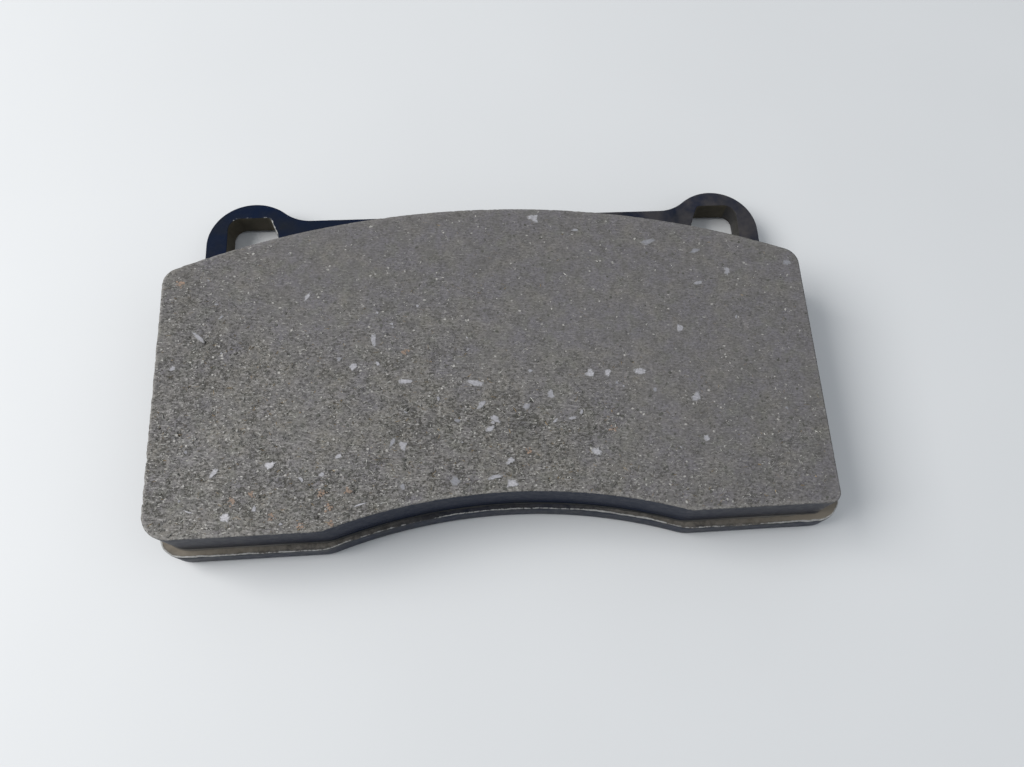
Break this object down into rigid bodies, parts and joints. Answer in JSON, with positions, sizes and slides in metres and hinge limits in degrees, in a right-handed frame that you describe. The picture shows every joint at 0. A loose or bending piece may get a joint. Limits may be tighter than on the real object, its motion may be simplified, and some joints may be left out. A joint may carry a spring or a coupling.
{
  "type": "brake pad",
  "caption": "Disc brake pad: crowned friction block with a hollow lower edge, bonded to a painted steel plate that has an ear with a pin window at each upper corner.",
  "frame": {"origin": "middle of the pad's bounding box in plan, on the surface that the back of the pad lies on", "axes": "+X across the pad, +Y towards the ears (away from the disc's centre), +Z from the piston side to the friction face"},
  "size_m": [0.1344, 0.0778, 0.016],
  "materials": {
    "plate_paint": "semi-gloss black paint over steel",
    "bond_adhesive": "cured phenolic adhesive",
    "underlayer_composite": "moulded fibre composite, painted black at its edge",
    "friction_composite": "matt ground composite with metal flecks and pale chips",
    "shim_rubber": "thin matt rubber coat",
    "shim_steel": "cold rolled sheet",
    "shim_glue": "pressure-sensitive adhesive"
  },
  "bodies": {
    "root": {"backing_plate": "plate_paint", "bond_film": "bond_adhesive", "friction_underlayer": "underlayer_composite", "friction_block": "friction_composite", "shim_outer_rubber": "shim_rubber", "shim_steel_core": "shim_steel", "shim_inner_rubber": "shim_rubber", "shim_adhesive": "shim_glue"}
  },
  "joints": []
}
